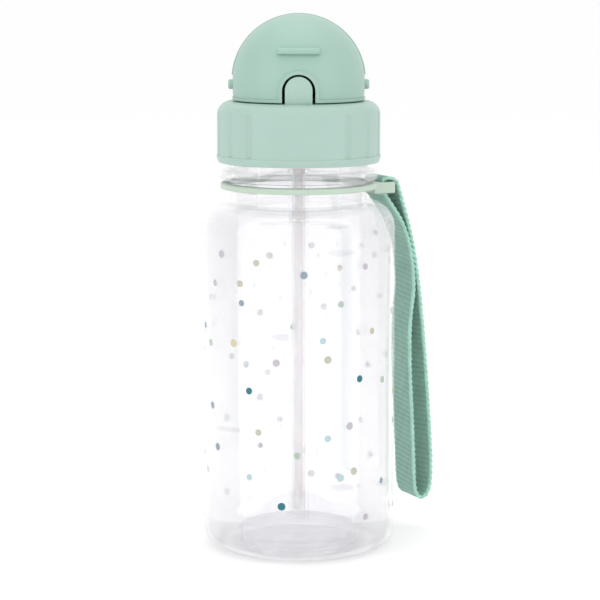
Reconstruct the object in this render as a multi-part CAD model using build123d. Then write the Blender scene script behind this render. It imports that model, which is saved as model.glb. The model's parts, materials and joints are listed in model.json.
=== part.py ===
"""Kids' straw bottle with a screw lid, a flip-back dome cover and a wrist strap.

Millimetres, +Z up, front towards -Y, origin on the floor at the bottle's axis.
Each function below makes one piece, and main() writes one STEP file per piece.
"""
from build123d import *
import os
from math import asin, atan2, cos, hypot, radians, sin, tan

# bottle
BODY_R = 36.0
WALL = 1.8
FOOT_R = 24.2
HEEL_ROUND = 7.0
PUNT_R = 21.5
PUNT_RISE = 4.6
SHOULDER_TOP = 130.3
SHOULDER_ROUND = 10.0
NECK_R = 25.4
BEAD_R = 29.3
BEAD_LOW = 138.3
BEAD_TOP = 142.1
THREAD_NECK_R = 26.0
MOUTH_R = 23.6
RIM_TOP = 162.6

# screw thread, right-handed: the lid's ridge runs half a pitch above the bottle's
PITCH = 5.0
TURNS = 1.25
RIDGE_ROOT = 2.2
RIDGE_CREST = 0.9
BOTTLE_RIDGE_R = 27.5
BOTTLE_RIDGE_Z = 148.0
LID_RIDGE_R = 26.6

# screw lid
DECK_LOW = 165.0
DECK_TOP = 167.3
SKIRT_R = 30.2
SKIRT_BORE_R = 28.1
LID_ROUND = 4.9
FLANGE_R = 30.4
FLANGE_TOP = 147.6
FLANGE_LOW = 144.8
RIB_OUTER_R = 22.3
RIB_WALL = 1.4
RIB_LOW = 163.7
FLUTE_WIDTH = 2.7
FLUTE_DEPTH = 0.5
FLUTE_TOP = 165.0
FLUTE_STEP = 19.5
FLUTE_FIRST = 36.5
FLUTES_PER_SIDE = 7

# gasket between the rim and the deck
GASKET_BORE_R = 22.6
GASKET_R = 26.1
GASKET_GAP = 0.1

# dome: every surface is an arc turned about the pins' axis
PIN_Z = 173.4
DOME_R = 24.4
DOME_LIFT = 1.4
DOME_WALL = 1.6
COVER_LOW = 167.75
COVER_REAR_ANGLE = 100
HUB_R = 5.2
BAND_PROUD = 0.4
BAND_TALL = 1.2
BAND_FOOT = 3.5
ARCH_R = 6.0
ARCH_CENTRE_Z = 172.0
ARCH_RIM = 1.4
TONGUE_R = 4.95
TONGUE_CENTRE_Z = 172.3
LEDGE_WIDTH = 15.4
LEDGE_LOW = 185.2
LEDGE_TOP = 187.4
LEDGE_OUT = 2.2
LEDGE_ROUND = 0.95
FAR = 60.0

# rear quarter of the dome, fixed to the lid under the cover
HOUSING_GAP = 0.4
HOUSING_WALL = 1.6
HOUSING_FRONT_ANGLE = 87
EAR_R = 4.6
NOTCH_HALF = 5.2
NOTCH_BACK = 3.8

# hinge pins
PIN_R = 1.8
PIN_RUNNING_GAP = 0.05
PIN_OUT = 1.7
PIN_HEAD_R = 3.2
PIN_HEAD = 1.4
PIN_HEAD_GAP = 0.12

# silicone mouthpiece, parted at its fold
SPOUT_Y = 2.0
SPOUT_R = 3.6
SPOUT_BORE_R = 2.0
SPOUT_LENGTH = 22.0
SPOUT_REST_ANGLE = 22.5
FOLD_Z = 180.2
FOLD_GAP = 0.3
COLLAR_R = 6.2
COLLAR = 1.5
GROOVE_R = 4.3
SOCKET_R = 4.4
SOCKET_LOW = 155.0

# straw
STRAW_R = 2.5
STRAW_BORE_R = 1.8
STRAW_LOW = 12.0
STRAW_TOP = 163.0

# vent valve in the deck
VENT_Y = 13.0
VENT_HOLE_R = 1.3
VENT_HEAD_R = 2.8

# swivel ring for the strap
TAB_ANGLE = 26
RING_BORE_R = 26.0
RING_R = 29.1
RING_LOW = 135.0
RING_TOP = 137.3
TAB_LOW = 132.2
TAB_TOP = 136.4
TAB_END = 36.5
TAB_HALF = 9.3
BAR = 3.0
SLOT_IN = 30.6
SLOT_HALF = 7.8

# wrist strap: webbing looped round the tab's bar, its two plies sewn below it
WEB_WIDTH = 15.0
WEB_THICK = 1.4
BAR_CENTRE = (TAB_END - BAR / 2, (TAB_LOW + TAB_TOP) / 2)
WRAP_R = 3.4
BAR_ARC = 0.97
# middle of the webbing as (distance from the bottle's axis, height)
OUTER_PLY = [(43.3, 119.0), (45.6, 109.5), (47.8, 96.0)]
OUTER_LOOP = [(49.7, 78.6), (51.4, 61.0), (52.9, 41.0), (53.8, 26.0), (53.4, 17.0)]
FOLD = [(51.4, 13.3), (48.4, 13.0), (46.4, 17.0)]
INNER_LOOP = [(46.0, 27.0), (45.2, 44.0), (43.9, 66.0), (43.9, 84.0)]
INNER_PLY = [(46.2, 97.2), (44.2, 109.5), (41.9, 119.0)]
SEWN_TOP = 120.6
SEWN_LOW = 94.0


def outline(*corners):
    """A closed face in a half plane; a corner's third number rounds it."""
    face = make_face(Polyline(*[corner[:2] for corner in corners], close=True))
    for corner in corners:
        if len(corner) == 3:
            vertex = face.vertices().sort_by_distance((corner[0], corner[1], 0))[0]
            face = fillet(vertex, corner[2])
    return face


def turned(*corners, y=0.0):
    """The solid that an (r, z) outline makes about an upright axis."""
    solid = revolve(Plane.XZ * outline(*corners), Axis.Z)
    return Pos(0, y, 0) * solid


def tube(outer, bore, low, top, y=0.0):
    return turned((bore, low), (outer, low), (outer, top), (bore, top), y=y)


def thread_ridge(root_r, crest_r, low):
    """A helical ridge with its root sunk in the wall that carries it."""
    section = Polyline(
        (root_r, -RIDGE_ROOT / 2),
        (root_r, RIDGE_ROOT / 2),
        (crest_r, RIDGE_CREST / 2),
        (crest_r, -RIDGE_CREST / 2),
        close=True,
    )
    path = Helix(pitch=PITCH, height=PITCH * TURNS, radius=root_r)
    ridge = sweep(Plane.XZ * make_face(section), path=path, is_frenet=True)
    return Pos(0, 0, low) * ridge


def upright_prism(y_z_face):
    """A (y, z) face carried right across the bottle along X."""
    return extrude(Plane.YZ * y_z_face, FAR, both=True)


def dome_solid(radius):
    """Solid turned about the pins' axis from an arc of this radius."""
    arc = ThreePointArc((-radius, DOME_LIFT), (0, radius + DOME_LIFT), (radius, DOME_LIFT))
    base = Polyline((radius, DOME_LIFT), (radius, 0), (-radius, 0), (-radius, DOME_LIFT))
    face = Plane((0, 0, PIN_Z), x_dir=(1, 0, 0), z_dir=(0, -1, 0)) * make_face(arc + base)
    return revolve(face, Axis((0, 0, PIN_Z), (1, 0, 0)))


def dome_shell(outer, inner):
    return dome_solid(outer) - dome_solid(inner)


def sector_point(angle):
    """Far point in the (y, z) plane, this many degrees up from straight ahead."""
    return (-FAR * cos(radians(angle)), PIN_Z + FAR * sin(radians(angle)))


def hub(radius):
    return Pos(0, PIN_Z) * Circle(radius)


def arch(radius, centre_z, low):
    """An arch-shaped (x, z) prism standing in front of the pins' axis."""
    head = Circle(radius) & Pos(0, radius / 2) * Rectangle(2 * radius, radius)
    legs = Pos(0, (low - centre_z) / 2) * Rectangle(2 * radius, centre_z - low)
    return extrude(Plane.XZ * Pos(0, centre_z) * (head + legs), FAR)


def bottle_body():
    """Clear body: straight wall, round shoulder, strap groove, bead and threaded neck."""
    inner_r = BODY_R - WALL
    ceiling = SHOULDER_TOP - WALL
    body = turned(
        (0, PUNT_RISE),
        (PUNT_R, PUNT_RISE, 1.5),
        (FOOT_R, 0, 1.0),
        (BODY_R, 0, HEEL_ROUND),
        (BODY_R, SHOULDER_TOP, SHOULDER_ROUND),
        (NECK_R, SHOULDER_TOP, 0.4),
        (NECK_R, BEAD_LOW, 0.5),
        (BEAD_R, BEAD_LOW, 0.9),
        (BEAD_R, BEAD_TOP, 1.6),
        (THREAD_NECK_R, BEAD_TOP, 0.5),
        (THREAD_NECK_R, RIM_TOP, 0.6),
        (MOUTH_R, RIM_TOP, 0.6),
        (MOUTH_R, ceiling, 1.0),
        (inner_r, ceiling, SHOULDER_ROUND - WALL),
        (inner_r, WALL, HEEL_ROUND - WALL),
        (FOOT_R + 1.0, WALL, 0.8),
        (PUNT_R + 0.9, PUNT_RISE + WALL, 1.5),
        (0, PUNT_RISE + WALL),
    )
    return body + thread_ridge(THREAD_NECK_R - 0.6, BOTTLE_RIDGE_R, BOTTLE_RIDGE_Z)


def flutes():
    """Shallow scooped grooves, upright round both sides of the skirt, with round tops."""
    scoop = (FLUTE_WIDTH**2 / 4 + FLUTE_DEPTH**2) / (2 * FLUTE_DEPTH)
    height = FLUTE_TOP - scoop - FLANGE_TOP
    cutter = Pos(0, 0, FLANGE_TOP + height / 2) * Cylinder(scoop, height)
    cutter += Pos(0, 0, FLANGE_TOP + height) * Sphere(scoop)
    cutter = Pos(0, -(SKIRT_R - FLUTE_DEPTH + scoop), 0) * cutter
    angles = [FLUTE_FIRST + FLUTE_STEP * count for count in range(FLUTES_PER_SIDE)]
    return [Rot(0, 0, side * angle) * cutter for side in (-1, 1) for angle in angles]


def screw_lid():
    """Skirt, deck, the rib that centres the gasket, thread, and the tongue that closes the arch."""
    rib_bore = RIB_OUTER_R - RIB_WALL
    lid = turned(
        (0, DECK_LOW),
        (0, DECK_TOP),
        (SKIRT_R, DECK_TOP, LID_ROUND),
        (SKIRT_R, FLANGE_TOP),
        (FLANGE_R, FLANGE_TOP, 0.15),
        (FLANGE_R, FLANGE_LOW + 1.6, 0.8),
        (FLANGE_R - 0.6, FLANGE_LOW, 0.3),
        (SKIRT_BORE_R, FLANGE_LOW, 0.4),
        (SKIRT_BORE_R, DECK_LOW, 1.8),
        (RIB_OUTER_R, DECK_LOW),
        (RIB_OUTER_R, RIB_LOW, 0.4),
        (rib_bore, RIB_LOW, 0.4),
        (rib_bore, DECK_LOW),
    )
    lid -= flutes()
    lid += thread_ridge(SKIRT_BORE_R + 0.4, LID_RIDGE_R, BOTTLE_RIDGE_Z + PITCH / 2)
    tongue = arch(TONGUE_R, TONGUE_CENTRE_Z, DECK_TOP - 1.0)
    lid += dome_shell(DOME_R, DOME_R - DOME_WALL) & tongue
    lid -= Pos(0, SPOUT_Y, DECK_LOW) * Cylinder(GROOVE_R, 20)
    return lid - Pos(0, VENT_Y, DECK_LOW) * Cylinder(VENT_HOLE_R, 20)


def lid_gasket():
    low = RIM_TOP + GASKET_GAP
    top = DECK_LOW - GASKET_GAP
    return turned(
        (GASKET_BORE_R, low, 0.4),
        (GASKET_R, low, 0.4),
        (GASKET_R, top, 0.4),
        (GASKET_BORE_R, top, 0.4),
    )


def ledge():
    """Thumb ledge on the cover's front, its outer face following the dome."""
    box = Pos(0, -FAR / 2, (LEDGE_LOW + LEDGE_TOP) / 2) * Box(LEDGE_WIDTH, FAR, LEDGE_TOP - LEDGE_LOW)
    shape = box & dome_shell(DOME_R + LEDGE_OUT, DOME_R - DOME_WALL / 2)
    outer = shape.faces().sort_by(Axis.Y)[0]
    return fillet(outer.edges(), LEDGE_ROUND)


def rear_band():
    """Strip in the (y, z) plane along the cover's rear edge, on its front side."""
    turn = radians(COVER_REAR_ANGLE)
    edge = Vector(-cos(turn), sin(turn))
    front = Vector(-edge.Y, edge.X)
    foot = Vector(0, PIN_Z) + edge * BAND_FOOT
    corners = (foot, foot + edge * FAR, foot + edge * FAR + front * BAND_TALL, foot + front * BAND_TALL)
    return make_face(Polyline(*corners, close=True))


def dome_cover():
    """Flip-back shell with hubs round both pins, an arch in front and raised rims."""
    inner = DOME_R - DOME_WALL
    wedge = Polyline(
        (0, PIN_Z), sector_point(COVER_REAR_ANGLE), (-FAR, PIN_Z + FAR),
        (-FAR, COVER_LOW), (0, COVER_LOW), close=True,
    )
    region = upright_prism(make_face(wedge) + hub(HUB_R))
    cover = dome_shell(DOME_R, inner) & region
    rim_shell = dome_shell(DOME_R + BAND_PROUD, inner)
    band = Pos(-FAR / 2, COVER_LOW + BAND_TALL / 2) * Rectangle(FAR, BAND_TALL)
    cover += rim_shell & upright_prism(band)
    cover += rim_shell & upright_prism(rear_band())
    cover += rim_shell & arch(ARCH_R + ARCH_RIM, ARCH_CENTRE_Z, COVER_LOW)
    cover += ledge()
    cover -= arch(ARCH_R, ARCH_CENTRE_Z, COVER_LOW - 5)
    return cover - Pos(0, 0, PIN_Z) * Rot(0, 90, 0) * Cylinder(PIN_R + PIN_RUNNING_GAP, 2 * FAR)


def rear_housing():
    """Fixed rear shell under the cover, with an ear for each pin and a notch for the spout."""
    outer = DOME_R - DOME_WALL - HOUSING_GAP
    wedge = Polyline(
        (0, PIN_Z), sector_point(HOUSING_FRONT_ANGLE), (FAR, PIN_Z + FAR),
        (FAR, DECK_TOP), (-EAR_R, DECK_TOP), (-EAR_R, PIN_Z), close=True,
    )
    region = upright_prism(make_face(wedge) + hub(EAR_R))
    housing = dome_shell(outer, outer - HOUSING_WALL) & region
    notch = Pos(0, NOTCH_BACK - FAR / 2) * Rectangle(2 * NOTCH_HALF, FAR)
    notch = fillet(notch.vertices().group_by(Axis.Y)[-1], 2.5)
    housing -= Pos(0, 0, PIN_Z + 10) * extrude(notch, FAR)
    return housing - Pos(0, 0, PIN_Z) * Rot(0, 90, 0) * Cylinder(PIN_R, 2 * FAR)


def hinge_pin(side):
    """Push-in pin: a head inside the ear and a round nub outside the cover."""
    ear_in = DOME_R - DOME_WALL - HOUSING_GAP - HOUSING_WALL - PIN_HEAD_GAP
    end = DOME_R + PIN_OUT
    profile = outline(
        (0, ear_in - PIN_HEAD),
        (PIN_HEAD_R, ear_in - PIN_HEAD, 0.4),
        (PIN_HEAD_R, ear_in),
        (PIN_R, ear_in),
        (PIN_R, end, 0.7),
        (0, end),
    )
    pin = revolve(Plane.XZ * profile, Axis.Z)
    return Pos(0, 0, PIN_Z) * Rot(0, 90 * side, 0) * pin


def spout_tube(radius, length):
    """Round tube along the folded spout, from the fold axis forwards and down."""
    place = Pos(0, SPOUT_Y, FOLD_Z) * Rot(90 + SPOUT_REST_ANGLE, 0, 0)
    return place * extrude(Circle(radius), length)


def spout_knuckle(radius):
    return Pos(0, SPOUT_Y, FOLD_Z) * Sphere(radius)


def mouthpiece_root():
    """Collars that grip the deck, the socket for the straw, and the spout up to its fold."""
    root = turned(
        (0, SOCKET_LOW),
        (SOCKET_R, SOCKET_LOW, 0.6),
        (SOCKET_R, DECK_LOW - COLLAR),
        (COLLAR_R, DECK_LOW - COLLAR, 0.4),
        (COLLAR_R, DECK_LOW),
        (GROOVE_R, DECK_LOW),
        (GROOVE_R, DECK_TOP),
        (COLLAR_R, DECK_TOP),
        (COLLAR_R, DECK_TOP + COLLAR, 0.6),
        (SPOUT_R, DECK_TOP + COLLAR, 0.6),
        (SPOUT_R, FOLD_Z),
        (0, FOLD_Z),
        y=SPOUT_Y,
    )
    root -= spout_knuckle(SPOUT_R + FOLD_GAP)
    root -= spout_tube(SPOUT_R + FOLD_GAP, SPOUT_LENGTH)
    root -= Pos(0, SPOUT_Y, FOLD_Z) * Cylinder(SPOUT_BORE_R, 2 * (FOLD_Z - STRAW_TOP))
    return root - Pos(0, SPOUT_Y, SOCKET_LOW) * Cylinder(STRAW_R, 2 * (STRAW_TOP - SOCKET_LOW))


def mouthpiece_tip():
    """The part of the spout beyond the fold, lying folded under the cover."""
    tip = fillet(spout_tube(SPOUT_R, SPOUT_LENGTH).edges().sort_by(Axis.Y)[0], 1.0)
    tip += spout_knuckle(SPOUT_R)
    bore = spout_tube(SPOUT_BORE_R, SPOUT_LENGTH + 1)
    return tip - bore


def straw():
    return tube(STRAW_R, STRAW_BORE_R, STRAW_LOW, STRAW_TOP, y=SPOUT_Y)


def vent_valve():
    """Soft umbrella valve: a thin cap on the deck and a barbed stem through it."""
    return turned(
        (0, DECK_LOW - 3.0),
        (0.7, DECK_LOW - 3.0),
        (VENT_HOLE_R + 0.5, DECK_LOW),
        (VENT_HOLE_R, DECK_LOW),
        (VENT_HOLE_R, DECK_TOP),
        (VENT_HEAD_R, DECK_TOP),
        (VENT_HEAD_R, DECK_TOP + 0.5, 0.2),
        (0, DECK_TOP + 1.1),
        y=VENT_Y,
    )


def strap_ring():
    """Loose ring under the bead, with a slotted tab whose end bar carries the strap."""
    ring = turned(
        (RING_BORE_R, RING_LOW, 0.5),
        (RING_R, RING_LOW, 0.5),
        (RING_R, RING_TOP, 0.9),
        (RING_BORE_R, RING_TOP, 0.5),
    )
    root = RING_BORE_R + 1.0
    plan = Pos((root + TAB_END) / 2, 0) * Rectangle(TAB_END - root, 2 * TAB_HALF)
    plan = fillet(plan.vertices().group_by(Axis.X)[-1], 1.8)
    tab = Pos(0, 0, TAB_LOW) * extrude(plan, TAB_TOP - TAB_LOW)
    tab -= Cylinder(RING_BORE_R, 2 * FAR + 2 * PIN_Z)
    slot_out = TAB_END - BAR
    slot = Pos((SLOT_IN + slot_out) / 2, 0, TAB_LOW) * Box(slot_out - SLOT_IN, 2 * SLOT_HALF, 20)
    tab -= slot
    level = tab.edges().filter_by(GeomType.LINE).filter_by(Axis.Y)
    tab = fillet(level.filter_by_position(Axis.X, slot_out - 0.1, TAB_END + 0.1), 0.6)
    return Rot(0, 0, TAB_ANGLE) * (ring + tab)


def tangent_to_wrap(point, side):
    """Unit direction from a point up to the webbing's wrap, on its outer (1) or inner side."""
    dx, dz = BAR_CENTRE[0] - point[0], BAR_CENTRE[1] - point[1]
    heading = atan2(dz, dx) - side * asin(WRAP_R / hypot(dx, dz))
    return cos(heading), sin(heading)


def wrap_corners():
    """Corners of the webbing's path round the bar, from the inner ply to the outer one."""
    top = BAR_CENTRE[1] + WRAP_R
    inside = BAR_CENTRE[0] - WRAP_R
    x, z = INNER_PLY[-1]
    dx, dz = tangent_to_wrap((x, z), -1)
    last = (inside, z + dz * (inside - x) / dx)
    x, z = OUTER_PLY[0]
    dx, dz = tangent_to_wrap((x, z), 1)
    return [last, (inside, top), (x + dx * (top - z) / dz, top)]


def at_height(low, high, z):
    """Point at a height on the run between two points."""
    share = (z - low[1]) / (high[1] - low[1])
    return (low[0] + share * (high[0] - low[0]), z)


def corner_radius(before, corner, after):
    """The largest tangent arc that leaves a tenth of the shorter run straight."""
    run_in = (Vector(*corner) - Vector(*before))
    run_out = (Vector(*after) - Vector(*corner))
    turn = radians(run_in.get_angle(run_out))
    return 0.45 * min(run_in.length, run_out.length) / tan(turn / 2)


def rounded_path(corners, grow, radii=None):
    """Face inside a closed clockwise path with tangent arcs, its edge moved out by grow."""
    count = len(corners)
    points, rounds = [], []
    for index, corner in enumerate(corners):
        before, after = corners[index - 1], corners[(index + 1) % count]
        run_in = (Vector(*corner) - Vector(*before)).normalized()
        run_out = (Vector(*after) - Vector(*corner)).normalized()
        out_in = Vector(-run_in.Y, run_in.X)
        out_out = Vector(-run_out.Y, run_out.X)
        move = (out_in + out_out) * (grow / (1 + out_in.dot(out_out)))
        bend = 1 if run_in.cross(run_out).Z < 0 else -1
        radius = (radii or {}).get(corner, corner_radius(before, corner, after))
        points.append((corner[0] + move.X, corner[1] + move.Y))
        rounds.append(radius + bend * grow)
    return make_face(FilletPolyline(*points, radius=rounds, close=True))


def strap_corners():
    """Corners of the webbing's closed centre line, and the radii of those round the bar."""
    wrap = wrap_corners()
    round_bar = {corner: BAR_ARC * WRAP_R for corner in wrap}
    return wrap + OUTER_PLY + OUTER_LOOP + FOLD + INNER_LOOP + INNER_PLY, round_bar


def wrist_strap():
    """Flat webbing loop standing out from the bottle, solid where its two plies are sewn."""
    half = WEB_THICK / 2
    wrap = wrap_corners()
    whole, round_bar = strap_corners()
    sewn_top = [
        at_height(OUTER_PLY[0], wrap[2], SEWN_TOP),
        at_height(INNER_PLY[2], wrap[0], SEWN_TOP),
    ]
    sewn_low = [
        at_height(OUTER_LOOP[0], OUTER_PLY[2], SEWN_LOW),
        at_height(INNER_LOOP[3], INNER_PLY[0], SEWN_LOW),
    ]
    tight = {corner: half + 0.1 for corner in sewn_top + sewn_low}
    side = rounded_path(whole, half, round_bar)
    side -= rounded_path(wrap + sewn_top, -half, {**round_bar, **tight})
    lower = [sewn_low[0]] + OUTER_LOOP + FOLD + INNER_LOOP + [sewn_low[1]]
    side -= rounded_path(lower, -half, tight)
    strap = extrude(Plane.XZ * side, WEB_WIDTH / 2, both=True)
    return Rot(0, 0, TAB_ANGLE) * strap


def report_strap(volume):
    """Prints the centre line's corner radii, and the solid against the webbing's section and length."""
    corners, round_bar = strap_corners()
    for index, corner in enumerate(corners):
        before, after = corners[index - 1], corners[(index + 1) % len(corners)]
        radius = round_bar.get(corner, corner_radius(before, corner, after))
        print(f"  strap corner at ({corner[0]:.1f}, {corner[1]:.1f}): radius {radius:.1f} mm")
    length = rounded_path(corners, 0, round_bar).face().outer_wire().length
    web = length * WEB_WIDTH * WEB_THICK
    print(f"  strap centre line {length:.1f} mm: section x length {web:.0f} mm3, solid {volume:.0f} mm3")


PIECES = {
    "bottle_body": bottle_body,
    "screw_lid": screw_lid,
    "lid_gasket": lid_gasket,
    "rear_housing": rear_housing,
    "dome_cover": dome_cover,
    "hinge_pin_left": lambda: hinge_pin(-1),
    "hinge_pin_right": lambda: hinge_pin(1),
    "mouthpiece_root": mouthpiece_root,
    "mouthpiece_tip": mouthpiece_tip,
    "straw": straw,
    "vent_valve": vent_valve,
    "strap_ring": strap_ring,
    "wrist_strap": wrist_strap,
}


def main():
    os.makedirs("parts", exist_ok=True)
    for name, make in PIECES.items():
        piece = make()
        solids = piece.solids()
        shape = solids[0] if len(solids) == 1 else Compound(children=list(solids))
        print(f"{name}: {len(solids)} solid, {shape.volume:.0f} mm3, valid {shape.is_valid}")
        export_step(shape, f"parts/{name}.step")
        if name == "wrist_strap":
            report_strap(shape.volume)


if __name__ == "__main__":
    main()
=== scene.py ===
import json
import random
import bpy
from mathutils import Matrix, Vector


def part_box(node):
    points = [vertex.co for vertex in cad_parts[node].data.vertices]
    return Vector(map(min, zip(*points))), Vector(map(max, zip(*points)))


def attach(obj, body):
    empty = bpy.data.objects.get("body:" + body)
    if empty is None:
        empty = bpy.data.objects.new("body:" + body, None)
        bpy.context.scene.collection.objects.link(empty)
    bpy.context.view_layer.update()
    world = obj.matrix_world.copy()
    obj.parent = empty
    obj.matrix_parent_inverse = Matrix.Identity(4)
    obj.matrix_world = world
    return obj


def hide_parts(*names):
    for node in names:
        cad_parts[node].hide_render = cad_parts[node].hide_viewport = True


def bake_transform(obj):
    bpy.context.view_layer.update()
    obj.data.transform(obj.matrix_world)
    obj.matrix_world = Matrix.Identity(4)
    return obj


bl_info = {
    "name": "Kids Straw Bottle",
    "version": (1, 0, 0),
    "blender": (4, 5, 0),
    "location": "View3D > Sidebar > Bottle",
    "description": "Builds a clear straw bottle with a mint lid, printed dots and a wrist strap",
    "category": "Object",
}

from math import asin, cos, pi, radians, sin, tau

import bmesh
import bpy
from bpy.props import FloatProperty, FloatVectorProperty, PointerProperty
from mathutils import Matrix, Vector

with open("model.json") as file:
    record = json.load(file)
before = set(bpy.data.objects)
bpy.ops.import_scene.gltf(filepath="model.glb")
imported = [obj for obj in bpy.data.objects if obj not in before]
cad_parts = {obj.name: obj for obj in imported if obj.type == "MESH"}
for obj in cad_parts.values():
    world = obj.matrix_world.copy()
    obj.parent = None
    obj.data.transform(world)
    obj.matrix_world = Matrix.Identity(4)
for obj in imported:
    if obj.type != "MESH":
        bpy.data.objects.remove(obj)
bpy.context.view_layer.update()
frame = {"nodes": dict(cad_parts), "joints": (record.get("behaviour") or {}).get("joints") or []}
JOINTS = {joint["name"]: joint for joint in frame["joints"]}
MM = 0.001


# ---------------------------------------------------------------- shader maths


class Value:
    """A number that varies over a surface. Arithmetic on it adds Math nodes."""

    def __init__(self, shader, socket):
        self.shader = shader
        self.socket = socket

    def math(self, operation, *operands):
        sockets = dict(enumerate(operands))
        return self.shader.node("ShaderNodeMath", {"operation": operation}, sockets)

    def __add__(self, other):
        return self.math("ADD", self, other)

    def __sub__(self, other):
        return self.math("SUBTRACT", self, other)

    def __rsub__(self, other):
        return self.math("SUBTRACT", other, self)

    def __mul__(self, other):
        return self.math("MULTIPLY", self, other)

    def __pow__(self, other):
        return self.math("POWER", self, other)

    __radd__ = __add__
    __rmul__ = __mul__

    def sine(self):
        return self.math("SINE", self)

    def size(self):
        return self.math("ABSOLUTE", self)


# sockets of a Mix node that mixes colours
MIX_FACTOR, MIX_LOW, MIX_HIGH, MIX_COLOUR = 0, 6, 7, 2


class Nodes:
    """A node tree and the ways that nodes are added to it."""

    def __init__(self, tree):
        self.tree = tree

    def feed(self, socket, value):
        if isinstance(value, Value):
            self.tree.links.new(value.socket, socket)
        elif socket.type == "RGBA":
            socket.default_value = (*value, 1.0)
        else:
            socket.default_value = value

    def node(self, kind, settings=None, sockets=None, output=0):
        node = self.tree.nodes.new(kind)
        for key, value in (settings or {}).items():
            setattr(node, key, value)
        for key, value in (sockets or {}).items():
            self.feed(node.inputs[key], value)
        return Value(self, node.outputs[output])

    def place(self):
        return self.node("ShaderNodeTexCoord", output="Object")

    def map_axes(self, name):
        """The two directions of the piece's own UV map, as numbers."""
        uv = self.node("ShaderNodeUVMap", {"uv_map": name})
        split = {"Vector": uv}
        return [self.node("ShaderNodeSeparateXYZ", None, split, output=axis) for axis in "XY"]

    def noise(self, scale, detail=2.0, vector=None):
        sockets = {"Vector": vector or self.place(), "Scale": scale, "Detail": detail}
        return self.node("ShaderNodeTexNoise", None, sockets, output="Fac")

    def mix(self, low, high, factor):
        """A colour between two others."""
        sockets = {MIX_FACTOR: factor, MIX_LOW: low, MIX_HIGH: high}
        return self.node("ShaderNodeMix", {"data_type": "RGBA"}, sockets, output=MIX_COLOUR)

    def bump(self, height, distance, strength=1.0, rounded=0.0):
        """Surface relief; rounded softens the piece's sharp corners by that radius."""
        sockets = {"Height": height, "Distance": distance, "Strength": strength}
        if rounded:
            sockets["Normal"] = self.node("ShaderNodeBevel", {"samples": 4}, {"Radius": rounded})
        return self.node("ShaderNodeBump", None, sockets)


class Shader(Nodes):
    """One material and its Principled surface."""

    def __init__(self, name, **constants):
        self.material = bpy.data.materials.new(name)
        self.material.use_nodes = True
        super().__init__(self.material.node_tree)
        self.surface = self.tree.nodes["Principled BSDF"]
        self.finish(**constants)

    def finish(self, **inputs):
        for key, value in inputs.items():
            self.feed(self.surface.inputs[key.replace("_", " ")], value)
        return self.material


def shade(colour, amount):
    """The colour a little darker or lighter."""
    return tuple(min(1.0, channel * amount) for channel in colour)


# ------------------------------------------------------------------- materials


def moulded_plastic(name, colour, rounded=0.25 * MM):
    """Satin polypropylene: faint flow clouds, fine spark-eroded grain, softened edges."""
    shader = Shader(name, IOR=1.49, Subsurface_Weight=0.12, Subsurface_Scale=1.2 * MM)
    shader.surface.inputs["Subsurface Radius"].default_value = (0.7, 1.0, 0.8)
    clouds = shader.noise(55.0)
    grain = shader.noise(5200.0, detail=3.0)
    dimples = shader.noise(900.0)
    return shader.finish(
        Base_Color=shader.mix(shade(colour, 0.97), shade(colour, 1.03), clouds),
        Roughness=0.33 + 0.1 * clouds + 0.08 * grain,
        Normal=shader.bump(grain * 0.6 + dimples, 0.012 * MM, rounded=rounded),
    )


def clear_plastic(name, tint, edge):
    """Glossy clear copolyester with painted shade that darkens it where the wall is seen edge on, a little
    wavy from blowing.
    """
    shader = Shader(name, IOR=1.54, Transmission_Weight=1.0, Alpha=0.34)
    waves = shader.noise(38.0, detail=1.0)
    haze = shader.noise(420.0)
    facing = shader.node("ShaderNodeLayerWeight", None, {"Blend": 0.5}, output="Facing")
    return shader.finish(
        # painted shade: the base colour turns towards the dark edge colour where the wall is seen edge on
        Base_Color=shader.mix(tint, edge, facing**4),
        Roughness=0.004 + 0.014 * haze,
        Normal=shader.bump(waves, 0.015 * MM),
    )


def silicone(name, colour):
    """Milky soft silicone with a powdery, slightly uneven skin."""
    shader = Shader(
        name,
        IOR=1.41,
        Subsurface_Weight=0.55,
        Subsurface_Scale=2.5 * MM,
        Transmission_Weight=0.12,
        Sheen_Weight=0.15,
    )
    clouds = shader.noise(160.0)
    skin = shader.noise(3500.0, detail=3.0)
    return shader.finish(
        Base_Color=shader.mix(shade(colour, 0.96), colour, clouds),
        Roughness=0.42 + 0.14 * clouds,
        Normal=shader.bump(skin, 0.01 * MM),
    )


def extruded_plastic(name, colour):
    """Translucent drinking straw with the fine lengthwise lines of its die."""
    shader = Shader(
        name,
        IOR=1.49,
        Subsurface_Weight=0.35,
        Subsurface_Scale=1.5 * MM,
        Alpha=0.26,
    )
    stretched = shader.node(
        "ShaderNodeMapping", None, {"Vector": shader.place(), "Scale": (1.0, 1.0, 0.02)}
    )
    lines = shader.noise(2600.0, vector=stretched)
    clouds = shader.noise(90.0)
    return shader.finish(
        Base_Color=shader.mix(shade(colour, 0.97), colour, clouds),
        Roughness=0.28 + 0.12 * lines,
        Normal=shader.bump(lines, 0.02 * MM),
    )


def printed_ink(name, colour, cover):
    """Screen-printed ink, thin enough to let some light through, with a satin face."""
    shader = Shader(name, IOR=1.5, Alpha=cover)
    mottle = shader.noise(1400.0, detail=3.0)
    return shader.finish(
        Base_Color=shader.mix(shade(colour, 0.9), shade(colour, 1.06), mottle),
        Roughness=0.38 + 0.16 * mottle,
        Normal=shader.bump(mottle, 0.01 * MM),
    )


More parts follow.
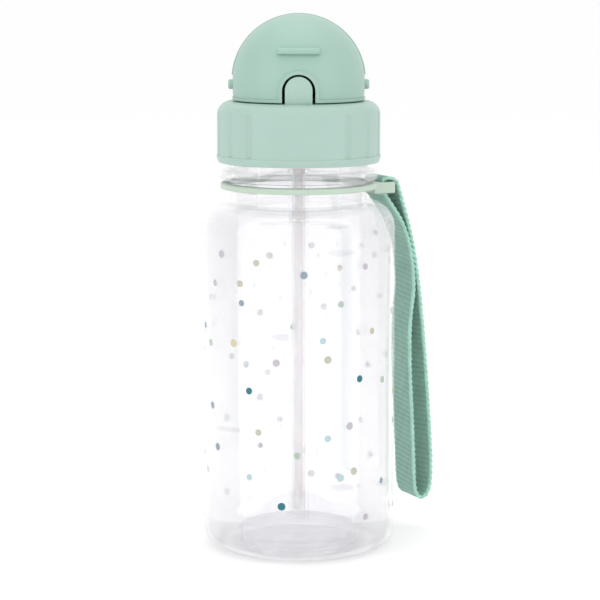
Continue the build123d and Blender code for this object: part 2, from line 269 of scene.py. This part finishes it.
def woven_webbing(name, colour, dark, uv_map):
    """Polyester webbing: warp ribs along the strap, slanting picks across them, painted shade in the gaps
    between the yarns.
    """
    shader = Shader(name, IOR=1.5, Sheen_Weight=0.35, Sheen_Roughness=0.45)
    along, across = shader.map_axes(uv_map)
    ribs = (across * (pi / WARP_PITCH)).sine().size()
    picks = (along * (tau / PICK_PITCH) + across * (tau / PICK_SLANT)).sine() * 0.5 + 0.5
    weave = ribs * 0.62 + picks * ribs * 0.38
    fibres = shader.noise(4200.0, detail=3.0)
    patches = shader.noise(120.0)
    yarn = weave * 0.85 + fibres * 0.15
    return shader.finish(
        # painted shade: where the weave is low the colour goes to the dark gap colour, shade between the
        # yarns
        Base_Color=shader.mix(dark, shade(colour, 1.1), yarn * 0.8 + patches * 0.2),
        Roughness=0.72 + 0.16 * fibres,
        Normal=shader.bump(weave + fibres * 0.35, 0.38 * MM),
    )


def twisted_yarn(name, colour, dark):
    """Shiny thick yarn of the webbing's edges and its stitches."""
    shader = Shader(name, IOR=1.5, Sheen_Weight=0.3, Sheen_Roughness=0.4)
    fibres = shader.noise(5200.0, detail=3.0)
    patches = shader.noise(300.0)
    return shader.finish(
        Base_Color=shader.mix(dark, colour, fibres * 0.5 + patches * 0.5),
        Roughness=0.6 + 0.2 * fibres,
        Normal=shader.bump(fibres, 0.05 * MM),
    )


def studio_floor(name, colour):
    """Matt pale backdrop with the faintest unevenness."""
    shader = Shader(name)
    faint = shader.noise(3.0)
    return shader.finish(
        Base_Color=shader.mix(shade(colour, 0.995), colour, faint),
        Roughness=0.9 + 0.05 * faint,
    )


# ------------------------------------------------------------------ mesh tools


def deselect():
    bpy.ops.object.select_all(action="DESELECT")


def named(piece, name):
    piece.name = name
    piece.data.name = name
    return piece


def mesh_piece(name, points, faces):
    mesh = bpy.data.meshes.new(name)
    mesh.from_pydata(points, [], faces)
    mesh.polygons.foreach_set("use_smooth", [True] * len(mesh.polygons))
    mesh.update()
    piece = bpy.data.objects.new(name, mesh)
    bpy.context.scene.collection.objects.link(piece)
    return piece


def tube_quads(rows, size, first=0, closed=True):
    """Faces between rings of equal size whose points are numbered from first."""
    quads = []
    for row in range(rows if closed else rows - 1):
        ahead = (row + 1) % rows
        for column in range(size):
            beside = (column + 1) % size
            quad = (row * size + column, row * size + beside, ahead * size + beside, ahead * size + column)
            quads.append(tuple(first + index for index in quad))
    return quads


def paint(piece, material):
    piece.data.materials.clear()
    piece.data.materials.append(material)


def paint_node(node, material):
    paint(frame["nodes"][node], material)


# ------------------------------------------------------------- the wrist strap

TAB_ANGLE = radians(26)
WEB_WIDTH = 15.0 * MM
WEB_THICK = 1.2 * MM
# middle of the webbing as (distance from the bottle's axis, height), in metres:
# from the sewn stretch up through the slot, over the bar, down and round the loop
STRAP_ROUTE = [
    (0.0442, 0.1095), (0.0419, 0.119), (0.03425, 0.1296), (0.0316, 0.1332),
    (0.0316, 0.1377), (0.03751, 0.1377), (0.03925, 0.1321), (0.0433, 0.119),
    (0.0456, 0.1095), (0.0478, 0.096), (0.0497, 0.0786), (0.0514, 0.061),
    (0.0529, 0.041), (0.0538, 0.026), (0.0534, 0.017), (0.0514, 0.0133),
    (0.0484, 0.013), (0.0464, 0.017), (0.046, 0.027), (0.0452, 0.044),
    (0.0439, 0.066), (0.0439, 0.084), (0.0462, 0.0972), (0.0442, 0.1095),
]
OUTER_PLY = STRAP_ROUTE[7:11]
BAR_TOP = (0.035, 0.138)
LINE_STEP = 0.45 * MM
SPLINE_RESOLUTION = 24
OUTWARD = Vector((cos(TAB_ANGLE), sin(TAB_ANGLE), 0.0))
ACROSS = Vector((sin(TAB_ANGLE), -cos(TAB_ANGLE), 0.0))
UP = Vector((0.0, 0.0, 1.0))
# the weave's spacings, in the UV map's millimetres
WARP_PITCH = 0.95
PICK_PITCH = 1.9
PICK_SLANT = 22.0
# the flat faces stop short of the edge yarns, and the rounded edge bulges under them
FACE_COLUMNS = 26
FACE_MARGIN = 2.4
EDGE_BULGE = 0.35 * MM
EDGE_YARN_R = 0.52 * MM
EDGE_TWIST = 4.4 * MM
EDGE_INSET = 1.6
EDGE_SWING = 0.8
EDGE_FLATNESS = 0.7
YARN_SIDES = 6
STITCH_LENGTH = 1.5 * MM
STITCH_R = 0.2 * MM
STITCH_ARCH = 0.28 * MM
STITCH_SUNK = 0.1 * MM
STITCH_LIFT = 0.05 * MM
STITCH_RINGS = 5
STITCH_SPREAD = 1.08
STITCH_ROWS = (0.1165, 0.1005)
STITCHES_ACROSS = 8
PLY_PITCH = 1.4 * MM


def strap_point(route_point):
    return OUTWARD * route_point[0] + UP * route_point[1]


def smooth_line(name, points):
    """Points read from the NURBS spline through a route's control points."""
    curve = bpy.data.curves.new(name, "CURVE")
    curve.dimensions = "3D"
    spline = curve.splines.new("NURBS")
    spline.points.add(len(points) - 1)
    for point, place in zip(spline.points, points):
        point.co = (*place, 1.0)
    spline.order_u = 3
    spline.use_endpoint_u = True
    spline.resolution_u = SPLINE_RESOLUTION
    holder = bpy.data.objects.new(name, curve)
    mesh = bpy.data.meshes.new_from_object(holder)
    line = [vertex.co.copy() for vertex in mesh.vertices]
    bpy.data.objects.remove(holder)
    bpy.data.curves.remove(curve)
    bpy.data.meshes.remove(mesh)
    return line


def resampled(line, step):
    """The line again with evenly spaced points, and its length."""
    lengths = [0.0]
    for start, end in zip(line, line[1:]):
        lengths.append(lengths[-1] + (end - start).length)
    count = round(lengths[-1] / step)
    points, index = [], 0
    for number in range(count + 1):
        target = lengths[-1] * number / count
        while index < len(line) - 2 and lengths[index + 1] < target:
            index += 1
        share = (target - lengths[index]) / (lengths[index + 1] - lengths[index])
        points.append(line[index].lerp(line[index + 1], share))
    return points, lengths[-1]


def strap_frames(line):
    """Each point of a closed flat loop with the direction out of the webbing's face."""
    places = line[:-1]
    frames = []
    for index, place in enumerate(places):
        ahead = places[(index + 1) % len(places)]
        behind = places[index - 1]
        tangent = (ahead - behind).normalized()
        frames.append((place, tangent.cross(ACROSS)))
    return frames


def web_section():
    """Outline of the webbing as (across, out): flat faces and a rounded edge."""
    half = WEB_WIDTH / 2 - FACE_MARGIN * EDGE_YARN_R
    thick = WEB_THICK / 2
    face = [-half + 2 * half * index / FACE_COLUMNS for index in range(FACE_COLUMNS + 1)]
    top = [(x, thick) for x in face]
    bottom = [(x, -thick) for x in reversed(face)]
    return top + [(half + EDGE_BULGE, 0.0)] + bottom + [(-half - EDGE_BULGE, 0.0)]


def swept_loop(name, frames, section, length):
    """A closed tube with this section all along the frames, with its UV map in mm."""
    count, ring = len(frames), len(section)
    points = [
        place + ACROSS * across + out * rise
        for place, out in frames
        for across, rise in section
    ]
    piece = mesh_piece(name, points, tube_quads(count, ring))
    uv = piece.data.uv_layers.new(name="weave")
    step = length / count / MM
    for polygon in piece.data.polygons:
        row = polygon.index // ring
        for corner, index in zip(polygon.loop_indices, polygon.vertices):
            along = index // ring
            along = row + 1 if along != row else row
            uv.data[corner].uv = (along * step, section[index % ring][0] / MM)
    return piece


def edge_yarn(frames, length, side, phase):
    """One of the two yarns that twist round each other along an edge."""
    turns = round(length / EDGE_TWIST)
    middle = side * (WEB_WIDTH / 2 - EDGE_YARN_R * EDGE_INSET)
    swing = EDGE_SWING * EDGE_YARN_R
    rings = []
    for index, (place, out) in enumerate(frames):
        angle = tau * turns * index / len(frames) + phase
        rise = EDGE_FLATNESS * swing * cos(angle)
        centre = place + ACROSS * (middle + swing * sin(angle)) + out * rise
        rings.append([
            centre + ACROSS * (EDGE_YARN_R * cos(turn)) + out * (EDGE_YARN_R * sin(turn))
            for turn in (tau * corner / YARN_SIDES for corner in range(YARN_SIDES))
        ])
    return rings


def stitch(place, along, out):
    """A short thread lying on the webbing, both its ends sunk into it."""
    rings = []
    side = along.cross(out)
    for number in range(STITCH_RINGS):
        share = number / (STITCH_RINGS - 1)
        rise = STITCH_ARCH * sin(pi * share) - STITCH_SUNK
        centre = place + along * ((share - 0.5) * STITCH_LENGTH) + out * rise
        rings.append([
            centre + side * (STITCH_R * cos(turn)) + out * (STITCH_R * sin(turn))
            for turn in (tau * corner / YARN_SIDES for corner in range(YARN_SIDES))
        ])
    return rings


class BOTTLE_OT_strap(bpy.types.Operator):
    """Weave the wrist strap: webbing loop, twisted edge yarns and its rows of stitches"""

    bl_idname = "bottle.strap"
    bl_label = "Wrist Strap"

    def execute(self, context):
        colours = context.scene.bottle_colours
        web = tuple(colours.webbing)
        # the gap colour is painted shade between the yarns
        dark = tuple(colours.webbing_gap_shade)
        line = smooth_line("strap_line", [strap_point(point) for point in STRAP_ROUTE])
        line, length = resampled(line, LINE_STEP)
        frames = strap_frames(line)
        strap = swept_loop("webbing_loop", frames, web_section(), length)
        paint(strap, woven_webbing("woven_webbing", web, dark, "weave"))
        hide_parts("wrist_strap")
        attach(strap, "strap")
        yarn = twisted_yarn("edge_yarn", shade(web, 1.12), shade(web, 0.62))
        points, faces = [], []
        for side in (-1, 1):
            for phase in (0.0, pi):
                rings = edge_yarn(frames, length, side, phase)
                faces += tube_quads(len(rings), YARN_SIDES, len(points))
                points += [point for ring in rings for point in ring]
        edges = mesh_piece("webbing_edges", points, faces)
        paint(edges, yarn)
        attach(edges, "strap")
        stitches = self.stitching()
        paint(stitches, yarn)
        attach(stitches, "strap")
        strap_point(BAR_TOP)
        return {"FINISHED"}

    def stitching(self):
        """Rows of stitches through both sewn plies, seen on either face."""
        points, faces = [], []
        for height in STITCH_ROWS:
            middle, tangent = self.on_ply(height, OUTER_PLY)
            out = tangent.cross(ACROSS)
            if out.dot(OUTWARD) < 0:
                out = -out
            for face_side, shift in ((1, WEB_THICK / 2), (-1, -PLY_PITCH - WEB_THICK / 2)):
                for number in range(STITCHES_ACROSS):
                    across = (number - (STITCHES_ACROSS - 1) / 2) * STITCH_LENGTH * STITCH_SPREAD
                    place = middle + ACROSS * across + out * (shift + face_side * STITCH_LIFT)
                    rings = stitch(place, ACROSS, out * face_side)
                    first = len(points)
                    last = first + (STITCH_RINGS - 1) * YARN_SIDES
                    points += [point for ring in rings for point in ring]
                    faces += tube_quads(STITCH_RINGS, YARN_SIDES, first, closed=False)
                    faces.append(tuple(first + index for index in reversed(range(YARN_SIDES))))
                    faces.append(tuple(last + index for index in range(YARN_SIDES)))
        return mesh_piece("webbing_stitches", points, faces)

    def on_ply(self, height, ply):
        """Place on the outer ply at a height, and the ply's direction there."""
        for low, high in zip(ply[1:], ply):
            if low[1] <= height <= high[1]:
                share = (height - low[1]) / (high[1] - low[1])
                radius = low[0] + share * (high[0] - low[0])
                tangent = (strap_point(high) - strap_point(low)).normalized()
                return strap_point((radius, height)), tangent
        raise ValueError(f"no ply at height {height}")


# ------------------------------------------------------------- the clear bottle

BODY_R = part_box("bottle_body")[1].x
INK_DEPTH = 0.05 * MM
INK_GAP = 0.03 * MM
# the printed dots, as (degrees round from the front, height in mm)
DOTS = {
    "teal": [(-30, 64), (38, 68), (-10, 22), (98, 46), (-112, 92)],
    "slate": [(3, 107), (-35, 96), (-73, 85), (58, 28), (-56, 41), (-62, 56), (-155, 30)],
    "sage": [(25, 96), (-1, 41), (-96, 58), (112, 70)],
    "sky": [(14, 83), (17, 47), (-30, 32), (25, 32), (84, 97)],
    "lilac": [(-13, 75), (31, 51), (43, 16), (42, 109), (-58, 102), (-51, 113)],
    "olive": [(-25, 111), (-36, 103), (-24, 49), (48, 85), (34, 34), (17, 76)],
    "ochre": [(-41, 81), (76, 60), (-98, 34)],
    "pearl": [
        (-162, 105), (172, 109), (137, 110), (143, 93), (140, 76), (-133, 67), (-160, 59),
        (-168, 40), (172, 18), (-128, 14), (131, 64), (-155, 83), (164, 85), (-17, 114),
    ],
}
SCATTERED = {"pearl": 9, "lilac": 3, "sky": 3, "olive": 3, "sage": 2, "slate": 1, "ochre": 1, "teal": 0}
INK_COVER = {"teal": 1.0, "slate": 0.9, "pearl": 0.5}
DEFAULT_COVER = 0.8
DOT_SEED = 11
# where the scattered dots may lie, in degrees round from the front and in mm up the wall
SCATTER_FROM, SCATTER_TO = 55, 305
DOT_LOW, DOT_HIGH = 10, 116
# square millimetres round the wall to one square degree
SQUARE_DEGREE = 0.4
DOT_SMALLEST, DOT_LARGEST = 0.86, 1.1
DAB_SIDES = 14
DAB_RIM = 0.22
DAB_CROWN = 0.35


def scattered_dots(rng, count, taken, spacing):
    """More places on the sides and back, none near a dot that is there already."""
    found = []
    while len(found) < count:
        angle = rng.uniform(SCATTER_FROM, SCATTER_TO)
        height = rng.uniform(DOT_LOW, DOT_HIGH)
        clear = all(
            ((angle - other + 180) % 360 - 180) ** 2 * SQUARE_DEGREE + (height - z) ** 2 > spacing**2
            for other, z in taken
        )
        if clear:
            found.append((angle, height))
            taken.append((angle, height))
    return found


def ink_disc():
    """A round flat dab of ink, thinner at its rim, as local points and faces."""
    deselect()
    bpy.ops.mesh.primitive_cylinder_add(vertices=DAB_SIDES, radius=1.0, depth=1.0)
    dab = bpy.context.object
    bpy.ops.object.mode_set(mode="EDIT")
    mesh = bmesh.from_edit_mesh(dab.data)
    mesh.faces.ensure_lookup_table()
    for face in mesh.faces:
        face.select_set(abs(face.normal.z) > 0.9)
    bpy.ops.mesh.inset(thickness=DAB_RIM, use_individual=True)
    for face in mesh.faces:
        middle = face.calc_center_median().z
        face.select_set(face.normal.z > 0.9 and middle > 0.4 and len(face.verts) > 4)
    bpy.ops.transform.translate(value=(0.0, 0.0, DAB_CROWN))
    bpy.ops.object.mode_set(mode="OBJECT")
    points = [vertex.co.copy() for vertex in dab.data.vertices]
    faces = [tuple(polygon.vertices) for polygon in dab.data.polygons]
    bpy.data.objects.remove(dab)
    return points, faces


class BOTTLE_OT_body(bpy.types.Operator):
    """Make the bottle clear and print its dots on the wall"""

    bl_idname = "bottle.body"
    bl_label = "Clear Body"

    def execute(self, context):
        sizes = context.scene.bottle_sizes
        colours = context.scene.bottle_colours
        clear = clear_plastic("clear_copolyester", tuple(colours.clear), tuple(colours.clear_edge_shade))
        paint_node("bottle_body", clear)
        rng = random.Random(DOT_SEED)
        taken = [place for places in DOTS.values() for place in places]
        points, faces = ink_disc()
        for ink, places in DOTS.items():
            places = places + scattered_dots(rng, SCATTERED[ink], taken, sizes.dot_spacing / MM)
            self.print_dots(ink, places, points, faces, rng, sizes.dot_diameter / 2)
        return {"FINISHED"}

    def print_dots(self, ink, places, points, faces, rng, radius):
        """Wraps a copy of the dab round the wall at each place, as one piece."""
        printed, quads = [], []
        for angle, height in places:
            size = radius * rng.uniform(DOT_SMALLEST, DOT_LARGEST)
            first = len(printed)
            for point in points:
                round_by = radians(angle) + asin(size * point.x / BODY_R)
                out = BODY_R + INK_GAP + INK_DEPTH * (point.z + 0.5)
                up = height * MM + size * point.y
                printed.append((out * sin(round_by), -out * cos(round_by), up))
            quads += [tuple(first + index for index in face) for face in faces]
        piece = mesh_piece(f"dots_{ink}", printed, quads)
        colour = getattr(bpy.context.scene.bottle_colours, f"dot_{ink}")
        paint(piece, printed_ink(f"ink_{ink}", tuple(colour), INK_COVER.get(ink, DEFAULT_COVER)))
        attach(piece, "bottle")


# ---------------------------------------------------- moulded and inner pieces


class BOTTLE_OT_moulded(bpy.types.Operator):
    """Finish the lid, the dome cover and its housing, the pins and the strap ring"""

    bl_idname = "bottle.moulded"
    bl_label = "Moulded Parts"

    def execute(self, context):
        colours = context.scene.bottle_colours
        lid = moulded_plastic("lid_plastic", tuple(colours.lid))
        # the dome and its housing get a darker copy of the lid's plastic, painted shade
        dome = moulded_plastic("dome_plastic", tuple(colours.dome))
        # the strap ring gets a lighter, greyer copy of the same plastic, painted light
        ring = moulded_plastic("ring_plastic", tuple(colours.ring))
        for node in ("screw_lid", "hinge_pin_left", "hinge_pin_right"):
            paint_node(node, lid)
        for node in ("dome_cover", "rear_housing"):
            paint_node(node, dome)
        paint_node("strap_ring", ring)
        return {"FINISHED"}


class BOTTLE_OT_inner(bpy.types.Operator):
    """Finish the straw, the lid's gasket and the vent valve"""

    bl_idname = "bottle.inner"
    bl_label = "Straw and Seals"

    def execute(self, context):
        colours = context.scene.bottle_colours
        paint_node("straw", extruded_plastic("straw_plastic", tuple(colours.straw)))
        seal = silicone("seal_silicone", tuple(colours.silicone))
        paint_node("lid_gasket", seal)
        paint_node("vent_valve", seal)
        return {"FINISHED"}


# ------------------------------------------------------------- the mouthpiece

FOLD = Vector(JOINTS["spout_fold"]["pos_m"])
REST_TO_UPRIGHT = radians(112.5)
BEND_ALONG = Vector((0.0, -0.8, 0.6))
BEND_START = 0.6 * MM
BEND_END = 5.6 * MM
# half outline of the upright mouthpiece as (radius, height), bore first then outside
SPOUT_OUTLINE = [
    (2.5, 155.0), (2.5, 162.9), (2.0, 163.3), (2.0, 180.2), (2.0, 200.6), (2.4, 201.6),
    (2.9, 202.1), (3.4, 201.7), (3.65, 200.9), (3.6, 199.6), (3.45, 192.0), (3.3, 186.0),
    (3.1, 183.4), (2.75, 181.6), (2.65, 180.2), (2.75, 178.8), (3.2, 177.2), (3.55, 175.8),
    (3.6, 172.0), (3.8, 169.6), (4.3, 168.9), (6.0, 168.75), (6.2, 168.4), (6.2, 167.35),
    (4.25, 167.3), (4.25, 165.0), (6.15, 164.95), (6.15, 163.9), (5.7, 163.5), (4.4, 163.3),
    (4.35, 156.0), (4.0, 155.1),
]
AROUND = 48
FINE = 0.7 * MM
# the search for each point's share of the fold
FIRST_REACH = 3.0 * MM
FOLD_ROUNDS = 160
FOLD_RATE = 0.12


def fine_outline():
    """The outline with points no further apart than FINE."""
    corners = [Vector((radius * MM, height * MM)) for radius, height in SPOUT_OUTLINE]
    points = []
    for start, end in zip(corners, corners[1:] + corners[:1]):
        steps = max(1, round((end - start).length / FINE))
        points += [start.lerp(end, number / steps) for number in range(steps)]
    return points


def smooth_step(share):
    share = min(1.0, max(0.0, share))
    return share * share * (3 - 2 * share)


def folded(point):
    """Where a point of the upright spout lies at rest, turned down by its share of the fold."""
    arm = point - FOLD
    weight = smooth_step((arm.z + FIRST_REACH) / (2 * FIRST_REACH))
    place = arm
    for _ in range(FOLD_ROUNDS):
        turn = Matrix.Rotation(weight * REST_TO_UPRIGHT, 3, "X")
        place = turn @ arm
        target = smooth_step((place.dot(BEND_ALONG) - BEND_START) / (BEND_END - BEND_START))
        weight += FOLD_RATE * (target - weight)
    return FOLD + place


class BOTTLE_OT_mouthpiece(bpy.types.Operator):
    """Cast the silicone mouthpiece in one piece and fold it down under the cover"""

    bl_idname = "bottle.mouthpiece"
    bl_label = "Mouthpiece"

    def execute(self, context):
        spout = self.cast_upright()
        for vertex in spout.data.vertices:
            vertex.co = folded(vertex.co)
        spout.data.update()
        colour = tuple(context.scene.bottle_colours.silicone)
        paint(spout, silicone("mouthpiece_silicone", colour))
        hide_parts("mouthpiece_root", "mouthpiece_tip")
        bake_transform(spout)
        return {"FINISHED"}

    def cast_upright(self):
        """A circle drawn up and down the outline ring by ring, and closed where it began."""
        outline = fine_outline()
        radius, height = outline[0]
        deselect()
        bpy.ops.mesh.primitive_circle_add(
            vertices=AROUND, radius=radius, location=(0.0, FOLD.y, height)
        )
        spout = named(bpy.context.object, "silicone_mouthpiece")
        bpy.ops.object.transform_apply(location=True, rotation=True, scale=True)
        bpy.ops.object.mode_set(mode="EDIT")
        for next_radius, next_height in outline[1:]:
            lift = (0.0, 0.0, next_height - height)
            bpy.ops.mesh.extrude_region_move(TRANSFORM_OT_translate={"value": lift})
            widen = next_radius / radius
            centre = (0.0, FOLD.y, next_height)
            bpy.ops.transform.resize(value=(widen, widen, 1.0), center_override=centre)
            radius, height = next_radius, next_height
        self.select_ends(spout)
        bpy.ops.mesh.bridge_edge_loops()
        bpy.ops.mesh.select_all(action="SELECT")
        bpy.ops.mesh.normals_make_consistent(inside=False)
        bpy.ops.object.mode_set(mode="OBJECT")
        bpy.ops.object.shade_smooth_by_angle(angle=radians(40))
        return spout

    def select_ends(self, spout):
        """The first and last ring, which are the only open edges."""
        mesh = bmesh.from_edit_mesh(spout.data)
        for edge in mesh.edges:
            edge.select_set(edge.is_boundary)
        bmesh.update_edit_mesh(spout.data)


# ------------------------------------------------------------------- the stage

WHITE = (1.0, 1.0, 1.0)
SKY_STRENGTH = 1.12
SIDE_DIMNESS = 0.66
SIDE_FALLOFF = 1.6
CAMERA_BACK = 0.812
CAMERA_HEIGHT = 0.2145
CAMERA_PITCH = radians(8.53)
LENS = 131.4
SHIFT = 0.0022
SENSOR = 36.0
FLOOR_SIZE = 60.0
FLOOR_CUTS = 8
LIGHT_AIM = (0.0, 0.0, 0.12)
SOFTBOX = (0.35, 0.8)
# each light's place, size and power in watts
LIGHTS = {
    "left_softbox": ((-0.75, -0.55, 0.45), SOFTBOX, 1.3),
    "right_softbox": ((0.75, -0.5, 0.4), SOFTBOX, 1.1),
    "overhead": ((0.0, 0.1, 1.1), (0.9, 0.9), 2.0),
}


def soft_light(name, place, size, power):
    data = bpy.data.lights.new(name, "AREA")
    data.shape = "RECTANGLE"
    data.size, data.size_y = size
    data.energy = power
    light = bpy.data.objects.new(name, data)
    light.location = place
    light.rotation_euler = (Vector(LIGHT_AIM) - Vector(place)).to_track_quat("-Z", "Y").to_euler()
    bpy.context.scene.collection.objects.link(light)


class BOTTLE_OT_stage(bpy.types.Operator):
    """Set up the pale floor, the soft studio light and the camera"""

    bl_idname = "bottle.stage"
    bl_label = "Studio"

    def execute(self, context):
        scene = context.scene
        deselect()
        bpy.ops.mesh.primitive_grid_add(
            x_subdivisions=FLOOR_CUTS, y_subdivisions=FLOOR_CUTS, size=FLOOR_SIZE
        )
        floor = named(context.object, "studio_floor")
        paint(floor, studio_floor("pale_floor", tuple(scene.bottle_colours.floor)))
        world = bpy.data.worlds.new("soft_studio")
        world.use_nodes = True
        nodes = Nodes(world.node_tree)
        way = nodes.node("ShaderNodeTexCoord", output="Generated")
        sideways = nodes.node("ShaderNodeSeparateXYZ", None, {"Vector": way}).size()
        flag = shade(WHITE, SIDE_DIMNESS)
        background = world.node_tree.nodes["Background"]
        nodes.feed(background.inputs["Color"], nodes.mix(WHITE, flag, sideways**SIDE_FALLOFF))
        background.inputs["Strength"].default_value = SKY_STRENGTH
        scene.world = world
        for name, (place, size, power) in LIGHTS.items():
            soft_light(name, place, size, power)
        data = bpy.data.cameras.new("photo_camera")
        data.lens = LENS
        data.sensor_width = SENSOR
        data.shift_x = SHIFT
        camera = bpy.data.objects.new("photo_camera", data)
        camera.location = (0.0, -CAMERA_BACK, CAMERA_HEIGHT)
        camera.rotation_euler = (pi / 2 - CAMERA_PITCH, 0.0, 0.0)
        scene.collection.objects.link(camera)
        scene.camera = camera
        scene.view_settings.view_transform = "Standard"
        return {"FINISHED"}


# -------------------------------------------------------- properties and panel


def colour_property(name, description, default):
    return FloatVectorProperty(
        name=name, description=description, default=default, subtype="COLOR", min=0.0, max=1.0
    )


class BottleSizes(bpy.types.PropertyGroup):
    dot_diameter: FloatProperty(
        name="Dot Diameter",
        description="Printed dots, across",
        default=2.7 * MM,
        min=0.5 * MM,
        subtype="DISTANCE",
        unit="LENGTH",
    )
    dot_spacing: FloatProperty(
        name="Dot Spacing",
        description="Least distance between the dots of the sides and back",
        default=8.0 * MM,
        min=1.0 * MM,
        subtype="DISTANCE",
        unit="LENGTH",
    )


class BottleColours(bpy.types.PropertyGroup):
    clear: colour_property("Clear Body", "Tint of the clear plastic", (0.91, 0.90, 0.955))
    # the clear edge colour is painted shade for the dark lines along the wall's edges
    clear_edge_shade: colour_property("Clear Edge Shade", "Tint where the wall is seen edge on", (0.42, 0.41, 0.46))
    lid: colour_property("Lid", "Screw lid", (0.375, 0.525, 0.465))
    # the dome colour is the lid plastic darkened as painted shade, the ring colour the same plastic
    # lightened as painted light
    dome: colour_property("Dome", "Dome cover and housing", (0.325, 0.495, 0.42))
    ring: colour_property("Ring", "Strap ring", (0.49, 0.60, 0.50))
    webbing: colour_property("Webbing", "Wrist strap", (0.45, 0.77, 0.64))
    # the gap colour is painted shade between the strap's yarns
    webbing_gap_shade: colour_property("Webbing Gap Shade", "Between the strap's yarns", (0.02, 0.16, 0.10))
    silicone: colour_property("Silicone", "Mouthpiece and seals", (0.88, 0.89, 0.87))
    straw: colour_property("Straw", "Drinking straw", (0.985, 0.97, 0.95))
    floor: colour_property("Floor", "Studio floor", (0.985, 0.985, 0.985))
    dot_teal: colour_property("Teal Dots", "Printed ink", (0.02, 0.16, 0.20))
    dot_slate: colour_property("Slate Dots", "Printed ink", (0.28, 0.36, 0.44))
    dot_sage: colour_property("Sage Dots", "Printed ink", (0.46, 0.58, 0.48))
    dot_sky: colour_property("Sky Dots", "Printed ink", (0.50, 0.66, 0.70))
    dot_lilac: colour_property("Lilac Dots", "Printed ink", (0.56, 0.52, 0.60))
    dot_olive: colour_property("Olive Dots", "Printed ink", (0.58, 0.56, 0.44))
    dot_ochre: colour_property("Ochre Dots", "Printed ink", (0.72, 0.62, 0.38))
    dot_pearl: colour_property("Pearl Dots", "Printed ink", (0.68, 0.67, 0.69))


class BOTTLE_PT_panel(bpy.types.Panel):
    bl_label = "Kids Straw Bottle"
    bl_idname = "BOTTLE_PT_panel"
    bl_space_type = "VIEW_3D"
    bl_region_type = "UI"
    bl_category = "Bottle"

    def draw(self, context):
        for group in (context.scene.bottle_sizes, context.scene.bottle_colours):
            for name in group.bl_rna.properties.keys():
                if name not in ("rna_type", "name"):
                    self.layout.prop(group, name)
        for operator in OPERATORS:
            self.layout.operator(operator.bl_idname)


OPERATORS = (
    BOTTLE_OT_stage,
    BOTTLE_OT_strap,
    BOTTLE_OT_body,
    BOTTLE_OT_moulded,
    BOTTLE_OT_inner,
    BOTTLE_OT_mouthpiece,
)
CLASSES = (BottleSizes, BottleColours, *OPERATORS, BOTTLE_PT_panel)


def register():
    for cls in CLASSES:
        bpy.utils.register_class(cls)
    bpy.types.Scene.bottle_sizes = PointerProperty(type=BottleSizes)
    bpy.types.Scene.bottle_colours = PointerProperty(type=BottleColours)


def unregister():
    del bpy.types.Scene.bottle_colours
    del bpy.types.Scene.bottle_sizes
    for cls in reversed(CLASSES):
        bpy.utils.unregister_class(cls)


def main():
    register()
    bpy.ops.bottle.stage()
    bpy.ops.bottle.strap()
    bpy.ops.bottle.body()
    bpy.ops.bottle.moulded()
    bpy.ops.bottle.inner()
    bpy.ops.bottle.mouthpiece()


if __name__ == "__main__":
    main()
